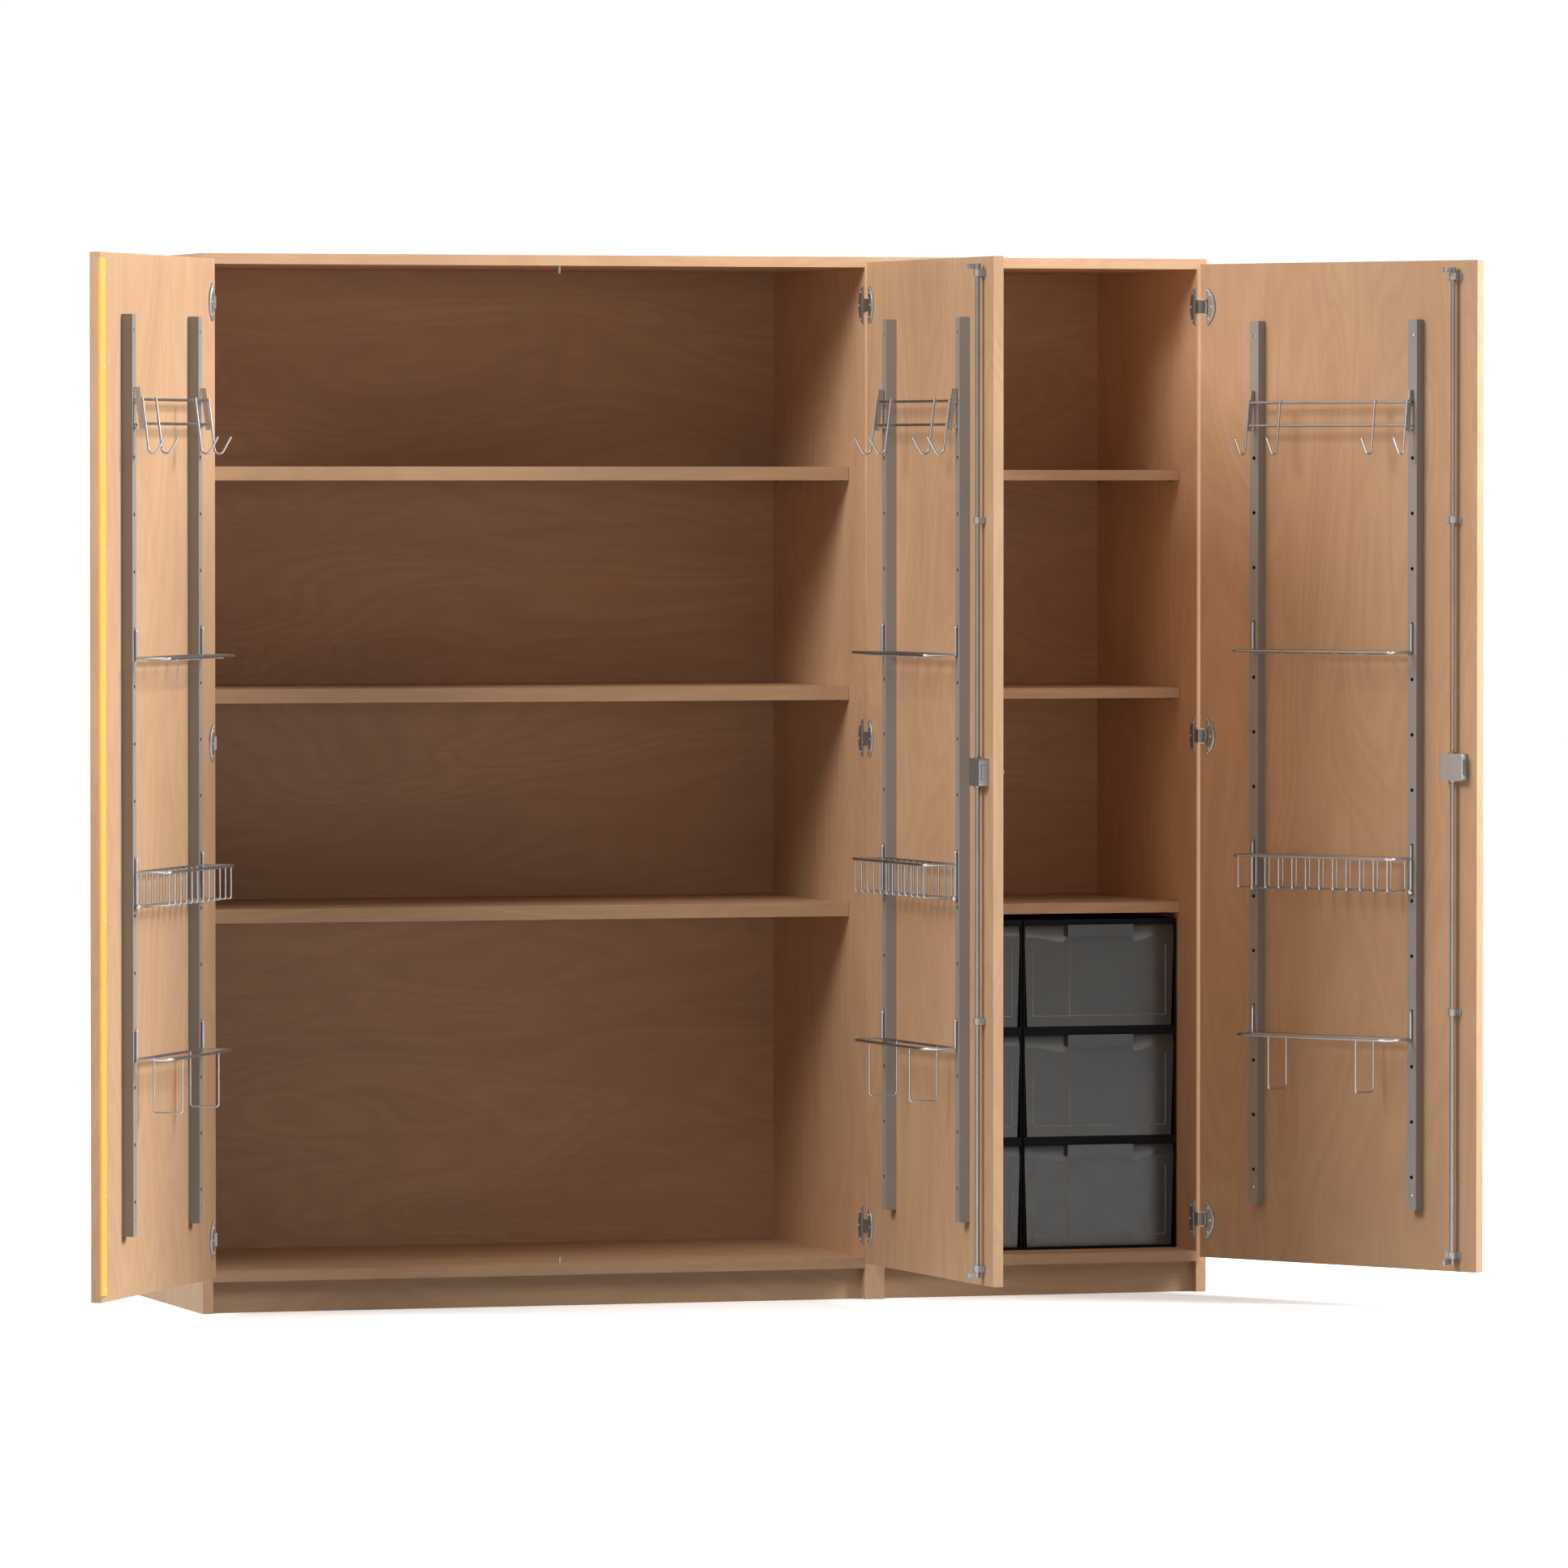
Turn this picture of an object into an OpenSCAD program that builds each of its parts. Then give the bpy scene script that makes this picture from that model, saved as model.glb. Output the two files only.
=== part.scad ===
/* [Carcass] */
// Clear width of the wide bay behind the left and middle doors
wide_bay_w = 1223; // [1180:1:1300]
// Clear width of the narrow bay behind the right door
narrow_bay_w = 601; // [601:1:660]
// Overall height
cabinet_h = 1900; // [1880:1:1960]
// Depth of the side panels, without the doors
carcass_d = 580; // [560:1:640]
// Thickness of the laminated boards
board = 19; // [18:0.5:22]
// Thickness of the partition that both bays share
partition_t = 38; // [36:1:44]
// Thickness of the back panels
back_t = 8; // [6:1:12]
// Height of the plinth under the bottom panels
plinth_h = 57; // [50:1:70]
// How far the plinth boards stand behind the front edges
plinth_setback = 20; // [10:1:40]

/* [Shelves] */
// Heights of the undersides of the adjustable shelves
shelf_z = [696, 1092, 1493.5]; // [690:0.5:1560]
// How far the shelves stand behind the front edges
shelf_setback = 96; // [94:1:110]
// Thickness of the long shelves
wide_shelf_t = 25; // [19:1:28]
// Gap at each end of a shelf
shelf_end_gap = 1; // [0.5:0.1:2]
// Radius of a shelf pin
shelf_pin_r = 2.5; // [2:0.25:3]

/* [Doors] */
// Thickness of the doors
door_t = 19; // [19:0.5:22]
// Gap between the carcass and the inner faces of the closed doors
door_gap = 2; // [2:0.5:3]
// How far a door's hinged edge covers the panel that carries it
door_overlay = 17; // [16:0.5:17.5]
// Gap between two closed doors
meeting_gap = 3; // [3:0.5:5]
// Height of a door's lower edge above the floor
door_bottom = 66; // [60:1:70]
// Distance from a door's upper edge to the top of the cabinet
door_top_margin = 10; // [8:1:14]
// Angle at which the outer doors stand open
outer_open = 122.5; // [95:0.5:170]
// Angle at which the middle door stands open
middle_open = 93.5; // [85:0.5:93.5]

/* [Hinges] */
// Heights of the hinge centres
hinge_z = [135, 1024, 1812]; // [110:1:1840]
// Height of a hinge plate
hinge_h = 69; // [60:1:76]
// Width of the domed plate on the door
door_wing_w = 18; // [16:1:22]
// Width of the domed plate on the panel
frame_wing_w = 24; // [20:1:28]
// Thickness of the domed plates at the crown
wing_t = 4.5; // [3.5:0.25:4.5]
// Radius of the hinge pin
hinge_pin_r = 2; // [1.5:0.25:2.25]

/* [Rails and wire goods] */
// Distance from the hinged edge to the first rail
rail_s = 140.5; // [120:0.5:160]
// Distance between the two rails of a door
rail_pitch = 363; // [340:1:380]
// Width and depth of a rail
rail_w = 20; // [18:1:22]
// Wall thickness of a rail
rail_wall = 1.5; // [1:0.25:2]
// Length of a rail
rail_len = 1610; // [1550:10:1620]
// Distance between the holes of a rail
hole_pitch = 100; // [90:5:100]
// Height of the uppermost hanging hole
hole_top_z = 1634; // [1620:1:1650]
// Radius of the hanging holes
hole_r = 3.5; // [3.25:0.25:4]
// Radius of the frame wires
wire_r = 2.5; // [2:0.25:2.75]
// Radius of the cross wires
thin_r = 1.5; // [1.25:0.25:1.75]
// Distance from the door to the front of the wire goods
ware_reach = 83; // [70:1:86]

/* [Locks] */
// Distance from a lockable door's free edge to its rod
rod_edge = 46; // [44:1:50]
// Distance from the door face to the centre of the rod
rod_o = 12; // [11:0.5:13]
// Radius of the rod
rod_r = 4; // [3:0.25:4.25]
// Height of the lock
lock_z = 977; // [950:1:1000]
// Width of the lock case
lock_w = 47.5; // [44:0.5:52]
// Height of the lock case
lock_h = 49; // [40:1:60]
// Depth of the lock case
lock_d = 20; // [19:0.5:22]
// Travel of the side bolt
bolt_travel = 10; // [6:1:12]

/* [Drawers] */
// Gap beside the drawer housings
housing_gap = 3; // [2:0.5:10]
// Height of a drawer housing
housing_h = 203; // [190:1:204]
// Depth of a drawer housing
housing_d = 420; // [380:1:450]
// Distance from the carcass front to the housings
housing_setback = 108; // [100:1:120]
// Wall thickness of the housings
housing_wall = 2.5; // [2:0.25:3]
// Wall thickness of the drawers
drawer_wall = 2; // [1.5:0.25:2.5]

/* [Hidden] */
$fn = 40;

BEECH = "#e2b68f";
STEEL = "#b9bcc0";
RAIL_GREY = "#9c9690";
YELLOW = "#f6c445";
BLACK = "#1b1b1c";
SMOKE = "#4b4b46";
OLIVE = "#6f6a4c";

// Left and right faces of the two bays, from the cabinet's left side
wide_x0 = board;
wide_x1 = wide_x0 + wide_bay_w;
narrow_x0 = wide_x1 + partition_t;
narrow_x1 = narrow_x0 + narrow_bay_w;
cabinet_w = narrow_x1 + board;
bay_depth = carcass_d - back_t;
floor_z = plinth_h + board;
ceiling_z = cabinet_h - board;

// The origin lies on the floor under the centre of the partition
origin_x = wide_x1 + partition_t / 2;
origin_y = carcass_d / 2;

// Doors are numbered from the left. A door's own frame has s along it from the hinged
// edge, o from its inner face into the cabinet, and z up.
LEFT = 0;
MIDDLE = 1;
RIGHT = 2;
wide_door_w = (wide_bay_w + 2 * door_overlay - meeting_gap) / 2;
narrow_door_w = narrow_bay_w + 2 * door_overlay;
door_edge_x = [wide_x0 - door_overlay, wide_x1 + door_overlay, narrow_x1 + door_overlay];
door_w = [wide_door_w, wide_door_w, narrow_door_w];
door_open = [outer_open, middle_open, outer_open];
door_top = cabinet_h - door_top_margin;

// Pivot of every door in its own frame
pivot_s = 3.5;
pivot_o = -13.5;

// Sizes inside a hinge
knuckle_r = hinge_pin_r + 1.4;
knuckle_half = 6;
leaf_half = 13.5;
arm_half = 12;
arm_t = 3;
arm_end_s = door_overlay + arm_t;
run_gap = 0.3;
pin_clearance = 0.05;
leaf_t = 1.5;
riser_s = arm_end_s + 2 * run_gap;
pocket_o = pivot_o - knuckle_r - 0.1;
wing_round = 3;
wing_start = wing_t + 2 * run_gap + 0.4;

// Sizes of the wire goods
bend_lap = 0.3;
bend_swell = 0.05;
weld_sink = 0.6;
joint_swell = 0.2;
rail_z0 = (door_top + door_bottom - rail_len) / 2 + 1;
rail_face = rail_w;
wire_o = rail_face + wire_r + 1;
tip_o = rail_face - 8;
tip_drop = hole_r - wire_r - run_gap;
rail_hole_count = 15;
fixing_hole_inset = 28;
fixing_hole_r = 3;
shelf_hole = 4;
basket_hole = 8;
bottle_hole = 11;
hanger_drop = 50;
basket_rim_drop = 23;
basket_h = 58;
basket_pitch = 31;
basket_wires = 12;
spacer_r = 5;
bottle_loop_h = 97;
bottle_loop_s = [81, 281];
shelf_wire_pitch = 60.5;
shelf_rim_bend = 8;
basket_rim_bend = 12;
bottle_rim_bend = 28;
basket_wire_bend = 4;
bottle_wire_bend = 6;

// Sizes of the locks
rod_clearance = 0.05;
rod_end_gap = 4;
claw_h = 9;
claw_w = 6;
strike_r = 2.5;
strike_len = 14;
strike_o = 6;

// Distances from each door's rod to its strikes and to the tips of its claws. The right
// door's strikes stand beside the partition, clear of the lowest drawer.
strike_ahead = [0, 13, 24];
claw_len = [0, 19, 28];

guide_h = 12;
guide_z = [535, 1423];
lock_edge = 19.5;
bolt_h = 27;
bolt_t = 8;
bolt_len = 18;
bolt_proud = 1.5;
spindle_r = 5;
bolt_o = rod_o - bolt_t / 2 - 1;
bolt_y0 = bolt_o - door_gap;

// Sizes of the drawers
drawer_columns = 2;
drawer_rows = 3;
housing_w = (narrow_bay_w - (drawer_columns + 1) * housing_gap) / drawer_columns;
housing_floor = 5;
housing_top = 3;
housing_band = 10;
drawer_w = housing_w - 2 * housing_wall - 4 * run_gap;
drawer_h = housing_h - housing_floor - housing_band - 2 * run_gap;
drawer_taper = 5;
drawer_recess = 1;
drawer_d = housing_d - 16;
pull_w = 0.44 * drawer_w;
pull_h = 22;
pull_reach = 9;

function door_side(door) = door == LEFT ? 0 : 1;
function unit(a, b) = (b - a) / norm(b - a);
function turn(a, b, c) =
    let (u = unit(a, b), v = unit(b, c))
    atan2(u.x * v.y - u.y * v.x, u.x * v.x + u.y * v.y);
function cutback(a, b, c, bend) = bend * tan(abs(turn(a, b, c)) / 2);
function rod_s(door) = door_w[door] - rod_edge;

module placed() {
    translate([-origin_x, -origin_y, 0]) children();
}

// Frame of a closed door
module at_bay(door) {
    placed()
    translate([door_edge_x[door], -door_gap, 0])
    mirror([door_side(door), 0, 0])
    children();
}

// Frame of a door as it stands open
module on_door(door) {
    at_bay(door)
    translate([pivot_s, pivot_o, 0])
    rotate([0, 0, -door_open[door]])
    translate([-pivot_s, -pivot_o, 0])
    children();
}

// Box between two corners
module block(low, high) {
    translate(low) cube(high - low);
}

// Round wire along a path in the XY plane, bent to one radius at each corner
module bent_wire(path, r, bend) {
    last = len(path) - 1;
    for (i = [0 : last - 1]) {
        a = path[i];
        b = path[i + 1];
        start = i == 0 ? 0 : cutback(path[i - 1], a, b, bend);
        stop = i == last - 1 ? 0 : cutback(a, b, path[i + 2], bend);
        d = unit(a, b);
        // Each straight run reaches a little way into its bends, which are a touch thicker
        run_in = i == 0 ? 0 : bend_lap;
        run_out = i == last - 1 ? 0 : bend_lap;
        translate([a.x + d.x * (start - run_in), a.y + d.y * (start - run_in), 0])
        rotate([0, 90, atan2(d.y, d.x)])
        cylinder(h = norm(b - a) - start - stop + run_in + run_out, r = r);
    }
    if (last > 1) {
        for (i = [1 : last - 1]) {
            angle = turn(path[i - 1], path[i], path[i + 1]);
            side = sign(angle);
            d = unit(path[i - 1], path[i]);
            corner = path[i] - d * cutback(path[i - 1], path[i], path[i + 1], bend)
                + side * bend * [-d.y, d.x];
            translate([corner.x, corner.y, 0])
            rotate([0, 0, atan2(-side * d.x, side * d.y) + min(angle, 0)])
            rotate_extrude(angle = abs(angle))
            translate([bend, 0])
            circle(r = r + bend_swell);
        }
    }
}

// Turns a drawing in XY into the plane that stands square to a door, at place s
module across_door(s) {
    translate([s, 0, 0]) rotate([90, 0, 90]) children();
}

// Carcass
module side_panel(x) {
    color(BEECH)
    placed()
    block([x, 0, 0], [x + board, carcass_d, cabinet_h]);
}

module middle_partition() {
    bolt_room = 1;
    color(BEECH)
    placed()
    difference() {
        block([wide_x1, 0, 0], [narrow_x0, carcass_d, ceiling_z]);
        block(
            [narrow_x0 - bolt_travel - 2, bolt_y0 - bolt_room, lock_z - bolt_h / 2 - bolt_room],
            [narrow_x0 + 1, bolt_y0 + bolt_t + bolt_room, lock_z + bolt_h / 2 + bolt_room]
        );
    }
}

module top_panel() {
    color(BEECH)
    placed()
    block([board, 0, ceiling_z], [cabinet_w - board, carcass_d, cabinet_h]);
}

module bottom_panel(x0, x1) {
    color(BEECH)
    placed()
    block([x0, 0, plinth_h], [x1, bay_depth, floor_z]);
}

module plinth_board(x0, x1) {
    color(BEECH)
    placed()
    block([x0, plinth_setback, 0], [x1, plinth_setback + board, plinth_h]);
}

module back_panel(x0, x1) {
    color(BEECH)
    placed()
    block([x0, bay_depth, plinth_h], [x1, carcass_d, ceiling_z]);
}

module shelf(x0, x1, z, t) {
    color(BEECH)
    placed()
    block([x0 + shelf_end_gap, shelf_setback, z], [x1 - shelf_end_gap, bay_depth, z + t]);
}

// Four pins under each shelf, fixed to the panels beside it
module shelf_pins() {
    pin_reach = 8;
    pin_inset = 40;
    color(STEEL)
    placed()
    for (x = [wide_x0, wide_x1, narrow_x0, narrow_x1], z = shelf_z)
        for (y = [shelf_setback + pin_inset, bay_depth - pin_inset])
            shelf_pin(x, y, z, x == wide_x0 || x == narrow_x0 ? 1 : -1, pin_reach);
}

module shelf_pin(x, y, z, side, reach) {
    translate([x, y, z - shelf_pin_r])
    rotate([0, 90 * side, 0])
    cylinder(h = reach, r = shelf_pin_r);
}

// Steel pins that the claws of the lock rods turn behind
module rod_strikes() {
    color(STEEL)
    for (door = [MIDDLE, RIGHT], z = [floor_z, ceiling_z - strike_len])
        at_bay(door)
        translate([rod_s(door) + strike_ahead[door], strike_o, z])
        cylinder(h = strike_len, r = strike_r);
}

// Half-moon plate with a rounded rim, whose straight edge lies on the Y axis
module half_moon(w) {
    outline_r = (pow(hinge_h / 2, 2) + w * w) / (2 * w);
    difference() {
        translate([w - outline_r, 0, 0])
        rotate_extrude($fn = 90) {
            square([outline_r - wing_round, wing_t]);
            square([outline_r, wing_t - wing_round]);
            intersection() {
                translate([outline_r - wing_round, wing_t - wing_round]) circle(r = wing_round);
                square([outline_r, wing_t]);
            }
        }
        translate([-2 * outline_r, -outline_r - 1, -1]) cube([2 * outline_r, 2 * outline_r + 2, wing_t + 2]);
    }
}

// Fixed half of a hinge: domed plate on the panel, cranked arm and knuckle
module frame_plate() {
    difference() {
        union() {
            translate([door_overlay, door_gap + wing_start, 0])
            rotate([90, 0, 90])
            half_moon(frame_wing_w);
            translate([0, 0, -arm_half])
            linear_extrude(2 * arm_half)
            polygon([
                [pivot_s + knuckle_r + 1, pivot_o - arm_t / 2],
                [arm_end_s, pivot_o - arm_t / 2],
                [arm_end_s, door_gap + wing_start + 3],
                [door_overlay + run_gap, door_gap + wing_start + 3],
                [door_overlay + run_gap, pivot_o + arm_t / 2],
                [pivot_s + knuckle_r + 1, pivot_o + arm_t / 2]
            ]);
            block([pivot_s, pivot_o - arm_t / 2, -knuckle_half],
                [pivot_s + knuckle_r + 2, pivot_o + arm_t / 2, knuckle_half]);
            translate([pivot_s, pivot_o, -knuckle_half])
            cylinder(h = 2 * knuckle_half, r = knuckle_r);
        }
        translate([pivot_s, pivot_o, -knuckle_half - 1])
        cylinder(h = 2 * knuckle_half + 2, r = hinge_pin_r);
    }
}

module hinge_frame_plates() {
    color(STEEL)
    for (door = [LEFT, MIDDLE, RIGHT], z = hinge_z)
        at_bay(door)
        translate([0, 0, z])
        frame_plate();
}

module hinge_pins() {
    color(STEEL)
    for (door = [LEFT, MIDDLE, RIGHT], z = hinge_z)
        at_bay(door)
        translate([pivot_s, pivot_o, z - leaf_half])
        cylinder(h = 2 * leaf_half, r = hinge_pin_r);
}

// Moving half of a hinge: domed plate on the door, tongue in the pocket and two knuckles
module door_plate() {
    knuckle_h = leaf_half - knuckle_half - run_gap;
    difference() {
        union() {
            difference() {
                translate([door_overlay + 0.5, 0, 0])
                rotate([90, 0, 0])
                mirror([0, 0, 1])
                half_moon(door_wing_w);
                block([0, -1, -leaf_half - run_gap], [riser_s, wing_t + 1, leaf_half + run_gap]);
            }
            block([riser_s, pocket_o, -leaf_half], [riser_s + leaf_t, 1, leaf_half]);
            difference() {
                block([run_gap, pocket_o, -leaf_half], [riser_s + leaf_t, pocket_o + leaf_t, leaf_half]);
                block([0, pocket_o - 1, -knuckle_half - run_gap],
                    [pivot_s + knuckle_r + 1, pocket_o + leaf_t + 1, knuckle_half + run_gap]);
            }
            for (z = [-leaf_half, knuckle_half + run_gap])
                translate([pivot_s, pivot_o, z])
                cylinder(h = knuckle_h, r = knuckle_r);
        }
        translate([pivot_s, pivot_o, -leaf_half - 1])
        cylinder(h = 2 * leaf_half + 2, r = hinge_pin_r + pin_clearance);
    }
}

module hinge_door_plates(door) {
    color(STEEL)
    for (z = hinge_z)
        on_door(door)
        translate([0, 0, z])
        door_plate();
}

// Door leaf with a routed pocket for each hinge and a hole for the knob's spindle
module door_leaf(door) {
    color(BEECH)
    on_door(door)
    difference() {
        block([0, -door_t, door_bottom], [door_w[door], 0, door_top]);
        for (z = hinge_z)
            block([-1, pocket_o, z - leaf_half - run_gap],
                [riser_s + leaf_t + run_gap, 1, z + leaf_half + run_gap]);
        if (door != LEFT)
            translate([rod_s(door), 1, lock_z])
            rotate([90, 0, 0])
            cylinder(h = door_t + 2, r = spindle_r + 0.5);
    }
}

// Strip along the left door's free edge, which the closed middle door covers
module closing_strip() {
    strip_w = 26;
    strip_t = 4;
    strip_overhang = 8;
    panel_gap = 2;
    free_edge = door_w[LEFT];
    color(YELLOW)
    on_door(LEFT)
    difference() {
        block([free_edge + strip_overhang - strip_w, 0, floor_z + panel_gap],
            [free_edge + strip_overhang, strip_t, ceiling_z - panel_gap]);
        block([free_edge, -1, 0], [free_edge + strip_overhang + 1, run_gap, cabinet_h]);
    }
}

// Slotted channel rails
module door_rail(s) {
    difference() {
        block([s - rail_w / 2, 0, rail_z0], [s + rail_w / 2, rail_face, rail_z0 + rail_len]);
        block([s - rail_w / 2 + rail_wall, -1, rail_z0 - 1],
            [s + rail_w / 2 - rail_wall, rail_face - rail_wall, rail_z0 + rail_len + 1]);
        for (i = [0 : rail_hole_count - 1])
            rail_hole(s, hole_top_z - i * hole_pitch, hole_r);
        for (z = [rail_z0 + fixing_hole_inset, rail_z0 + rail_len - fixing_hole_inset])
            rail_hole(s, z, fixing_hole_r);
    }
}

module rail_hole(s, z, r) {
    translate([s, rail_face + 1, z])
    rotate([90, 0, 0])
    cylinder(h = rail_wall + 2, r = r);
}

module door_rails(door) {
    color(RAIL_GREY)
    on_door(door)
    for (s = [rail_s, rail_s + rail_pitch])
        door_rail(s);
}

// Rim wire with two hangers whose tips sit in the rail holes
module wire_rim(hole, drop, reach, corner_bend) {
    hole_z = hole_top_z - hole * hole_pitch - tip_drop;
    rim_z = hole_z - drop;
    s0 = rail_s;
    s1 = rail_s + rail_pitch;
    hanger_bend = wire_r + 1;
    translate([0, 0, rim_z])
    bent_wire([[s0, wire_o], [s0, reach], [s1, reach], [s1, wire_o]], wire_r, corner_bend);
    translate([s0, wire_o, rim_z])
    rotate([0, 90, 0])
    cylinder(h = s1 - s0, r = wire_r);
    for (s = [s0, s1]) {
        across_door(s)
        bent_wire([[tip_o, hole_z], [wire_o, hole_z], [wire_o, rim_z]], wire_r, hanger_bend);
        translate([s, wire_o, rim_z]) sphere(r = wire_r + joint_swell);
    }
}

module wire_shelf(door) {
    rim_z = hole_top_z - shelf_hole * hole_pitch - tip_drop - hanger_drop;
    color(STEEL)
    on_door(door) {
        wire_rim(shelf_hole, hanger_drop, ware_reach, shelf_rim_bend);
        for (i = [1 : 5])
            translate([rail_s + i * shelf_wire_pitch, wire_o, rim_z - wire_r - thin_r + weld_sink])
            rotate([-90, 0, 0])
            cylinder(h = ware_reach - wire_o, r = thin_r);
    }
}

module basket(door) {
    rim_z = hole_top_z - basket_hole * hole_pitch - tip_drop - basket_rim_drop;
    back_o = wire_o + wire_r + thin_r - weld_sink;
    front_o = ware_reach - wire_r - thin_r + weld_sink;
    bottom_z = rim_z - basket_h;
    floor_wire_end = 4;
    floor_wire_o = back_o + 8;
    first_s = rail_s + (rail_pitch - (basket_wires - 1) * basket_pitch) / 2;
    color(STEEL)
    on_door(door) {
        wire_rim(basket_hole, basket_rim_drop, ware_reach, basket_rim_bend);
        for (i = [0 : basket_wires - 1])
            across_door(first_s + i * basket_pitch)
            bent_wire([[back_o, rim_z], [back_o, bottom_z], [front_o, bottom_z], [front_o, rim_z]],
                thin_r, basket_wire_bend);
        translate([first_s - floor_wire_end, floor_wire_o, bottom_z - 2 * thin_r + weld_sink])
        rotate([0, 90, 0])
        cylinder(h = (basket_wires - 1) * basket_pitch + 2 * floor_wire_end, r = thin_r);
        for (s = [rail_s, rail_s + rail_pitch]) {
            translate([s, wire_o, bottom_z]) cylinder(h = basket_h, r = wire_r);
            translate([s, rail_face + spacer_r + run_gap, bottom_z - 2]) sphere(r = spacer_r);
        }
    }
}

module bottle_holder(door) {
    rim_z = hole_top_z - bottle_hole * hole_pitch - tip_drop - hanger_drop;
    loop_back = wire_o + wire_r + thin_r - weld_sink;
    loop_front = ware_reach - wire_r - thin_r + weld_sink;
    loop_z = rim_z - bottle_loop_h;
    color(STEEL)
    on_door(door) {
        wire_rim(bottle_hole, hanger_drop, ware_reach, bottle_rim_bend);
        for (s = bottle_loop_s)
            across_door(rail_s + s)
            bent_wire([[loop_back, rim_z], [loop_back, loop_z], [loop_front, loop_z], [loop_front, rim_z]],
                thin_r, bottle_wire_bend);
    }
}

// Two bars between hooked end plates, with four coat hooks
module hook_rail(door) {
    plate_t = 3;
    plate_w = 8;
    plate_low = hole_top_z - 51;
    plate_high = hole_top_z + 23;
    plate_back = wire_o - wire_r + run_gap;
    slope = 9 / (plate_high - plate_low);
    bar_end = 3;
    bar_z = [hole_top_z + 1, hole_top_z - 41];
    hook_r = 2;
    hook_bend = 9;
    hook_reach = 28;
    weld = 0.8;
    hook_s = [0, 73, rail_pitch - 73, rail_pitch];
    function plate_edge(z) = plate_back + plate_w + slope * (plate_high - z);
    function hook_o(z) = plate_edge(z) + wire_r + hook_r - weld;
    hook_top = hole_top_z + 6;
    hook_low = hole_top_z - 112;
    hook_path = [
        [hook_o(hook_top), hook_top],
        [hook_o(hook_low), hook_low],
        [hook_o(hook_low) + hook_reach, hole_top_z - 63]
    ];
    color(STEEL)
    on_door(door) {
        for (s = [rail_s, rail_s + rail_pitch]) {
            translate([s - plate_t / 2, 0, 0])
            rotate([90, 0, 90])
            linear_extrude(plate_t)
            polygon([
                [plate_back, plate_high],
                [plate_edge(plate_high), plate_high],
                [plate_edge(plate_low), plate_low],
                [plate_edge(plate_low) - plate_w, plate_low]
            ]);
            translate([s, tip_o, hole_top_z - tip_drop])
            rotate([-90, 0, 0])
            cylinder(h = plate_back + plate_w / 2 - tip_o, r = wire_r - 0.25);
        }
        // The bars' seams are turned away from the plates and hooks
        for (z = bar_z)
            translate([rail_s - bar_end, plate_edge(z), z])
            rotate([0, 90, 0])
            rotate([0, 0, 180])
            cylinder(h = rail_pitch + 2 * bar_end, r = wire_r);
        for (s = hook_s)
            across_door(rail_s + s)
            bent_wire(hook_path, hook_r, hook_bend);
    }
}

// Locks
module lock_case(door) {
    s1 = door_w[door] - lock_edge;
    s0 = s1 - lock_w;
    z0 = lock_z - lock_h / 2;
    corner = 4;
    color(STEEL)
    on_door(door)
    difference() {
        translate([s0, lock_d, z0])
        rotate([90, 0, 0])
        linear_extrude(lock_d)
        rounded_rectangle(lock_w, lock_h, corner);
        translate([rod_s(door), rod_o, z0 - 1])
        cylinder(h = lock_h + 2, r = rod_r + rod_clearance);
        translate([rod_s(door), rod_o - rod_r - 1, lock_z])
        rotate([90, 0, 0])
        cylinder(h = rod_o, r = spindle_r + rod_clearance);
        block(
            [s1 + bolt_proud - bolt_len - run_gap, bolt_o - run_gap, lock_z - bolt_h / 2 - run_gap],
            [s1 + 1, bolt_o + bolt_t + run_gap, lock_z + bolt_h / 2 + run_gap]
        );
    }
}

module rounded_rectangle(w, h, r) {
    translate([r, 0]) square([w - 2 * r, h]);
    translate([0, r]) square([w, h - 2 * r]);
    for (x = [r, w - r], y = [r, h - r])
        translate([x, y]) circle(r = r);
}

module side_bolt(door) {
    s1 = door_w[door] - lock_edge + bolt_proud;
    color(STEEL)
    on_door(door)
    block([s1 - bolt_len, bolt_o, lock_z - bolt_h / 2], [s1, bolt_o + bolt_t, lock_z + bolt_h / 2]);
}

module rod_guide(s, z) {
    hump_r = rod_r + 3;
    foot = 22;
    foot_t = 2;
    translate([s, 0, z])
    linear_extrude(guide_h)
    difference() {
        union() {
            translate([-foot, 0]) square([foot + hump_r + 5, foot_t]);
            translate([-hump_r, 0]) square([2 * hump_r, rod_o]);
            translate([0, rod_o]) circle(r = hump_r);
        }
        translate([0, rod_o]) circle(r = rod_r + rod_clearance);
    }
}

module rod_guides(door) {
    color(STEEL)
    on_door(door) {
        for (z = guide_z)
            rod_guide(rod_s(door), z - guide_h / 2);
        rod_guide(rod_s(door), floor_z + rod_end_gap + claw_h + 1);
        rod_guide(rod_s(door), ceiling_z - rod_end_gap - claw_h - 1 - guide_h);
    }
}

// Round rod with a claw at each end
module lock_rod(door) {
    z0 = floor_z + rod_end_gap;
    z1 = ceiling_z - rod_end_gap;
    color(STEEL)
    on_door(door)
    translate([rod_s(door), rod_o, 0]) {
        translate([0, 0, z0]) cylinder(h = z1 - z0, r = rod_r);
        for (z = [z0, z1 - claw_h])
            translate([0, 0, z])
            linear_extrude(claw_h)
            claw_outline(door);
    }
}

// Round-tipped arm with a hollow where it bears on the strike
module claw_outline(door) {
    hub_wall = 1.5;
    hollow = 1.5;
    tip = claw_len[door] - claw_w / 2;
    difference() {
        union() {
            circle(r = rod_r + hub_wall);
            translate([-claw_w / 2, 0]) square([claw_w, tip]);
            translate([0, tip]) circle(r = claw_w / 2);
        }
        translate([-claw_w / 2 - hollow, strike_ahead[door]]) circle(r = strike_r + run_gap);
    }
}

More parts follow.
